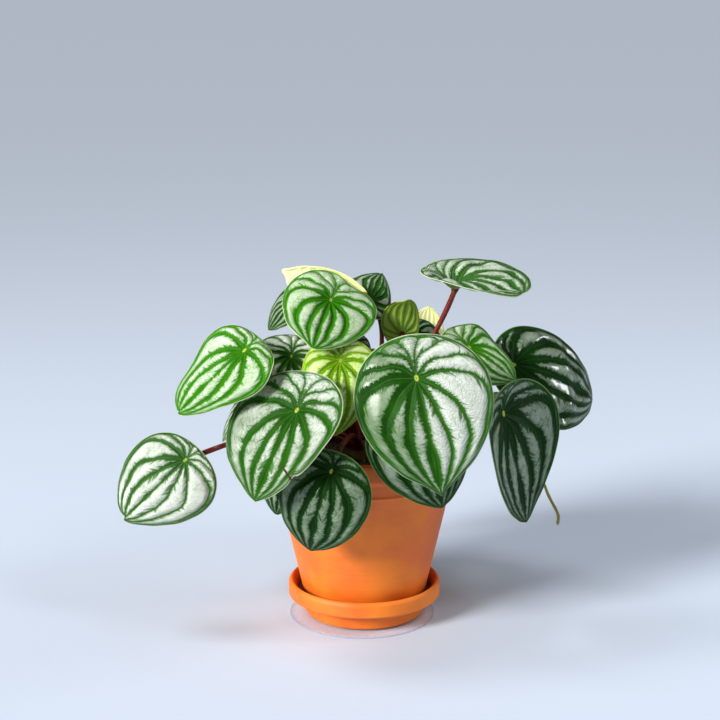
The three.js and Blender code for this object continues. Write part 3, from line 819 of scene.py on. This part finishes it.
def makeStalkMaterial(name, stalkMarks):
    material, tree, shader = newMaterial(name)
    dark, light, fresh = (screen(*colour) for colour in stemSettings[name])
    marks = useGroup(tree, stalkMarks)
    feed(shader, {
        "Base Color": layered(dark, (ramp(marks["Patches"], 0.35, 0.65), light),
                              (ramp(marks["Streaks"], 0.5, 0.75, 0.0, 0.7), fresh)),
        "Roughness": ramp(marks["Streaks"], 0.3, 0.7, 0.34, 0.55), "Specular IOR Level": 0.25})
    addBump(shader, marks["Streaks"], 0.0002)
    return material


def makePetioles(material):
    s = stemSettings
    maker = random.Random(7)
    places, faces = [], []
    for spec in leaves:
        path = petiolePath(spec)
        share = np.linspace(0, 1, len(path))
        small = min(1.0, spec["length"] / 70)
        thick = s["radius"] * (0.72 + 0.28 * small)
        radii = thick + (s["footRadius"] - thick) * np.exp(-share * s["footFade"])
        radii = radii * (1 + s["uneven"] * np.sin(share * 23 + maker.uniform(0, 6)))
        radii[-1] = s["flare"] * small
        tubeMesh(path, radii, s["sides"], places, faces, leafPlacing(spec)[0][2])
    return newPiece("petioles", places, faces, material)


def makeCrown(material):
    # a short knotted stem with the scars of old petioles
    s = stemSettings
    sides, rows = s["crownSides"], s["crownRows"]
    places, faces = [], []
    for row in range(rows + 1):
        share = row / rows
        level = s["soilMiddle"] - s["crownSink"] + share * (s["crownHeight"] + s["crownSink"])
        radius = s["crownRadius"] * sqrt(1 - share**3) * 0.98
        for angle in angles(sides):
            knot = s["knot"] * sin(5 * angle + 4 * share) * sin(9 * share + 2 * angle)
            places.append(spot(radius + knot * (1 - share), angle, level))
    for row in range(rows):
        faces += ringFaces(row * sides, (row + 1) * sides, sides)
    faces.append(tuple(range(sides))[::-1])
    return newPiece("crown", places, faces, material)


def makeSpike(material):
    s = stemSettings
    route = np.array(s["spike"], float)
    knots = np.linspace(0, len(route) - 1, s["spikeSteps"])
    path = np.stack([np.interp(knots, range(len(route)), route[:, k]) for k in range(3)], -1)
    for _ in range(s["spikeSmooth"]):
        path[1:-1] = (path[:-2] + path[1:-1] * 2 + path[2:]) / 4
    share = np.linspace(0, 1, len(path))
    radii = s["spikeRadius"] * (0.75 + 0.35 * (share > 0.62) + 0.08 * np.sin(share * 300))
    radii[-3:] *= (0.85, 0.6, 0.3)
    places, faces = [], []
    tubeMesh(path, radii, s["spikeSides"], places, faces)
    return newPiece("flower_spike", places, faces, material)


def makeStems():
    marks = makeStalkMarks()
    for make, skin in ((makePetioles, "petioleSkin"), (makeCrown, "crownBark"), (makeSpike, "spikeSkin")):
        piece = make(makeStalkMaterial(skin, marks))
        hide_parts("stems")
    print("stems made")


# clay pot and saucer, turned outlines in millimetres
potterySettings = {
    "sides": 160,
    "pot": {"baseRadius": 39.9, "bodyRadius": 57.0, "collarRadius": 60.0, "bodyTop": 93.7,
            "collarFoot": 103.7, "height": 116.3, "wall": 4.5, "base": 16.0, "floor": 5.0,
            "drainRadius": 6.0, "ease": 1.2, "step": 2.0, "round": 1.0, "uneven": 0.08},
    "saucer": {"footRadius": 38.5, "floorRadius": 42.0, "rimRadius": 49.3, "lipRound": 2.0, "ease": 1.0,
               "underside": 12.5, "top": 23.0, "bottom": 1.0, "floor": 15.0, "wall": 4.0, "round": 0.8,
               "uneven": 0.06},
}


def rounded(outline, cut, steps=4):
    # each corner of a closed outline becomes a short curve, no longer than the sides allow
    points = []
    count = len(outline)
    for i in range(count):
        before, here, after = (np.array(outline[(i + d) % count], float) for d in (-1, 0, 1))
        first, second = before - here, after - here
        reach = min(cut, norm(first) * 0.45, norm(second) * 0.45)
        start, end = (here + way / max(norm(way), 1e-9) * reach for way in (first, second))
        if here[0] < 0.01:
            points.append(here)
            continue
        for k in range(steps + 1):
            t = k / steps
            points.append(start * (1 - t) ** 2 + here * 2 * t * (1 - t) + end * t**2)
    return points


def turnedPiece(name, outline, sides, material, uneven=0.0, seed=0):
    # turns a closed outline round the Z axis; points on the axis become one vertex
    maker = random.Random(seed)
    phases = [maker.uniform(0, 6.3) for _ in range(3)]
    places, rings = [], []
    for radius, height in outline:
        first = len(places)
        if radius < 0.01:
            places.append((0.0, 0.0, height))
        else:
            for angle in angles(sides):
                shift = sum(sin((i + 2) * angle + phases[i]) for i in range(3))
                places.append(spot(radius + uneven * shift / 3, angle, height))
        rings.append(range(first, len(places)))
    faces = []
    for low, high in zip(rings, rings[1:] + rings[:1]):
        for k in range(sides):
            corners = [ring[i % len(ring)] for ring, i in ((low, k), (low, k + 1), (high, k + 1), (high, k))]
            face = tuple(dict.fromkeys(corners))
            if len(face) > 2:  # three corners where a ring is one point, and none along the axis
                faces.append(face)
    return newPiece(name, places, faces, material)


claySettings = {
    "dark": (228, 103, 19), "light": (242, 129, 27), "turning": (246, 150, 70), "grain": (196, 80, 20),
    # painted shade, with some dirt, in the narrow gap between the pot and the saucer's wall
    "damp": {"radius": 46.0, "bottom": 15.0, "top": 22.5, "cover": 0.95, "colour": (60, 20, 8)},
}


def makeClayMaterial():
    s = claySettings
    material, tree, shader = newMaterial("clay")
    place = objectPlace(tree)
    x, y, z = parts(place)
    turned = noise(joined(x * 30.0, y * 30.0, z * 900.0), 1.0, 3.0, 0.55)  # faint marks of the turning
    patches = noise(place, 28.0, 4.0, 0.55)
    grain = noise(place, 1500.0, 3.0, 0.7)
    # painted shade, with some dirt: the clay grows darker towards the bottom of the narrow gap between the
    # pot and the saucer's wall
    damp = s["damp"]
    within = calc("LESS_THAN", vectorCalc("LENGTH", joined(x, y)), damp["radius"] * mm)
    above = calc("GREATER_THAN", z, damp["bottom"] * mm)
    wet = within * above * ramp(z, damp["bottom"] * mm, damp["top"] * mm, damp["cover"], 0.0)
    base = layered(screen(*s["dark"]), (ramp(patches, 0.3, 0.7), screen(*s["light"])),
                   (ramp(turned, 0.45, 0.8, 0.0, 0.18), screen(*s["turning"])),
                   (ramp(grain, 0.62, 0.75, 0.0, 0.35), screen(*s["grain"])),
                   # painted shade and dirt, darkest at the bottom of the gap
                   (wet, screen(*damp["colour"])))
    feed(shader, {"Base Color": base, "Roughness": ramp(patches, 0.3, 0.7, 0.46, 0.62)})
    addBump(shader, turned * 0.5 + grain * 0.5, 0.00012)
    return material


def makePot(clay):
    p = potterySettings["pot"]
    ease, base, top, wall = p["ease"], p["base"], p["height"], p["wall"]
    foot, body, collar, drain = p["baseRadius"], p["bodyRadius"], p["collarRadius"], p["drainRadius"]
    bodyTop, collarFoot, floor = p["bodyTop"], p["collarFoot"], base + p["floor"]
    inside = foot - wall + (body - foot) / (bodyTop - base) * p["floor"]
    mouth = collar - wall
    outline = [
        (drain, base),
        (foot - ease, base),
        (foot, base + ease),
        (body, bodyTop - ease),
        (body + ease, bodyTop),
        (body + ease / 2, bodyTop + p["step"]),
        (body + ease, collarFoot - ease),
        (collar - ease / 2, collarFoot),
        (collar, collarFoot + ease),
        (collar, top - ease),
        (collar - ease, top),
        (mouth + ease, top),
        (mouth, top - ease),
        (body - wall, bodyTop + p["step"]),
        (inside, floor),
        (drain, floor),
    ]
    pot = turnedPiece("clay_pot", rounded(outline, p["round"]), potterySettings["sides"], clay,
                      p["uneven"], 3)
    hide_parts("pot")


def makeSaucer(clay):
    s = potterySettings["saucer"]
    ease, lip, bottom, under, top = s["ease"], s["lipRound"], s["bottom"], s["underside"], s["top"]
    foot, rim, floorRadius, floor = s["footRadius"], s["rimRadius"], s["floorRadius"], bottom + s["floor"]
    inside = rim - s["wall"]
    outline = [
        (0, bottom),
        (foot - ease, bottom),
        (foot, bottom + ease),
        (foot + ease, under - ease),
        (rim - ease, under),
        (rim, under + ease),
        (rim, top - lip),
        (rim - lip / 2, top - lip / 4),
        (rim - lip, top),
        (inside + lip / 2, top - lip / 4),
        (inside, top - lip),
        (floorRadius + ease, floor + ease),
        (floorRadius, floor),
        (0, floor),
    ]
    saucer = turnedPiece("clay_saucer", rounded(outline, s["round"]), potterySettings["sides"], clay,
                         s["uneven"], 5)
    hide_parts("saucer")


def makePottery():
    clay = makeClayMaterial()
    makePot(clay)
    makeSaucer(clay)
    print("pot and saucer made")


# the rim colour and cover make a tinted, less clear band round the disc: a painted reflection of its clear
# edge
discSettings = {"radius": 47.0, "thickness": 1.0, "forward": 3.0, "aside": 1.5, "sides": 128, "round": 0.3,
                "middle": (240, 234, 240), "rim": (190, 190, 214), "rimCover": 0.2}


def makeDisc():
    s = discSettings
    radius, thickness, aside, forward = s["radius"], s["thickness"], s["aside"] * mm, s["forward"] * mm
    material, tree, shader = newMaterial("clearDisc")
    place = objectPlace(tree)
    x, y, _ = parts(place)
    fromAxis = vectorCalc("LENGTH", joined(x + aside, y + forward))
    # painted reflection: the last millimetre of the radius is tinted and less clear
    rim = ramp(fromAxis, (radius - 1.2) * mm, (radius - 0.2) * mm)
    scuffs = noise(place, 300.0, 4.0, 0.6)
    feed(shader, {"Base Color": blend(rim, screen(*s["middle"]), screen(*s["rim"])),
                  "Alpha": rim * s["rimCover"] + ramp(scuffs, 0.4, 0.8, 0.14, 0.26),
                  "Roughness": ramp(scuffs, 0.45, 0.75, 0.06, 0.3)})
    outline = rounded([(0, 0), (radius, 0), (radius, thickness), (0, thickness)], s["round"])
    disc = turnedPiece("thin_disc", outline, s["sides"], material)
    for vertex in disc.data.vertices:
        vertex.co.x -= aside
        vertex.co.y -= forward
    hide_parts("clear_disc")
    print("disc made")


soilSettings = {
    "top": 105.0, "middle": 108.0, "radius": 54.0, "innerRadius": 14.2, "floorGap": 0.2,
    "sides": 120, "rows": 26, "bump": 0.7, "sink": 1.0, "seed": 21,
    "crumbs": 700, "crumbSize": (0.5, 1.6), "grains": 60, "grainSize": (0.5, 1.1), "grainTint": 0.9,
    "bitSink": 0.7, "edgeFree": 3.0,
    "dark": (34, 24, 18), "light": (82, 60, 44), "grain": (206, 200, 188),
}


def soilLevel(radius):
    s = soilSettings
    return s["top"] + (s["middle"] - s["top"]) * (1 - (radius / s["radius"]) ** 2)


def makeSoilMaterial():
    s = soilSettings
    material, tree, shader = newMaterial("pottingMix")
    lumps = noise(objectPlace(tree), 220.0, 5.0, 0.65)
    base = layered(screen(*s["dark"]), (ramp(lumps, 0.3, 0.7), screen(*s["light"])),
                   (attribute(tree, "tint"), screen(*s["grain"])))
    feed(shader, {"Base Color": base, "Roughness": ramp(lumps, 0.3, 0.7, 0.85, 1.0)})
    addBump(shader, lumps, 0.0012)
    return material


def makeSoil():
    # an uneven surface that closes against the pot's inside, then the floor of the mix in the pot
    s = soilSettings
    maker = random.Random(s["seed"])
    sides, rows = s["sides"], s["rows"]
    places = []
    for row in range(rows + 1):
        radius = s["radius"] * row / rows
        for angle in angles(sides if row else 1):
            bump = maker.uniform(-s["bump"], s["bump"]) if row < rows else 0.0
            places.append(spot(radius, angle, soilLevel(radius) - s["sink"] + bump))
    p = potterySettings["pot"]
    low = p["base"] + p["floor"] + s["floorGap"]
    last = len(places)
    places += [spot(p["baseRadius"] - p["wall"], angle, low) for angle in angles(sides)]
    faces = [(0, 1 + k, 1 + (k + 1) % sides) for k in range(sides)]
    for row in range(rows):
        faces += ringFaces(1 + row * sides, 1 + (row + 1) * sides, sides, True)
    faces.append(tuple(range(last, len(places)))[::-1])
    tints = [0.0] * len(places)

    # crumbs and a few pale grains lie on it
    corners = [(1, 0, 0), (-1, 0, 0), (0, 1, 0), (0, -1, 0), (0, 0, 1), (0, 0, -1)]
    sidesOf = [(0, 2, 4), (2, 1, 4), (1, 3, 4), (3, 0, 4), (2, 0, 5), (1, 2, 5), (3, 1, 5), (0, 3, 5)]
    width = s["radius"] - s["edgeFree"] - s["innerRadius"]
    for index in range(s["crumbs"] + s["grains"]):
        isGrain = index >= s["crumbs"]
        radius = s["innerRadius"] + width * sqrt(maker.random())
        angle = maker.uniform(0, 2 * pi)
        size = maker.uniform(*s["grainSize" if isGrain else "crumbSize"])
        centre = Vector(spot(radius, angle, soilLevel(radius) - s["bitSink"]))
        spin = Matrix.Rotation(maker.uniform(0, 6.3), 3, "Z") @ Matrix.Rotation(maker.uniform(0, 3), 3, "X")
        start = len(places)
        for corner in corners:
            places.append(tuple(centre + spin @ (Vector(corner) * size * maker.uniform(0.7, 1.2))))
            tints.append(s["grainTint"] if isGrain else 0.0)
        faces += [tuple(start + c for c in face) for face in sidesOf]
    soil = newPiece("potting_mix", places, faces, makeSoilMaterial())
    addLayer(soil, "tint", np.array(tints))
    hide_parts("soil")
    print("soil made")


floorSettings = {"half": 30.0, "drop": 0.0002, "colour": (204, 215, 232), "roughness": 0.7}


def makeFloor():
    s = floorSettings
    material, _, shader = newMaterial("paleFloor")
    feed(shader, {"Base Color": screen(*s["colour"]), "Roughness": s["roughness"]})
    corners = ((-1, -1), (1, -1), (1, 1), (-1, 1))
    mesh = bpy.data.meshes.new("floor")
    mesh.from_pydata([(x * s["half"], y * s["half"], -s["drop"]) for x, y in corners], [], [(0, 1, 2, 3)])
    mesh.materials.append(material)
    floor = addObject("floor", mesh)
    print("floor made")


makeCamera()
makeLights()
makeFloor()
makePottery()
makeDisc()
makeSoil()
makeStems()
makeLeaves()
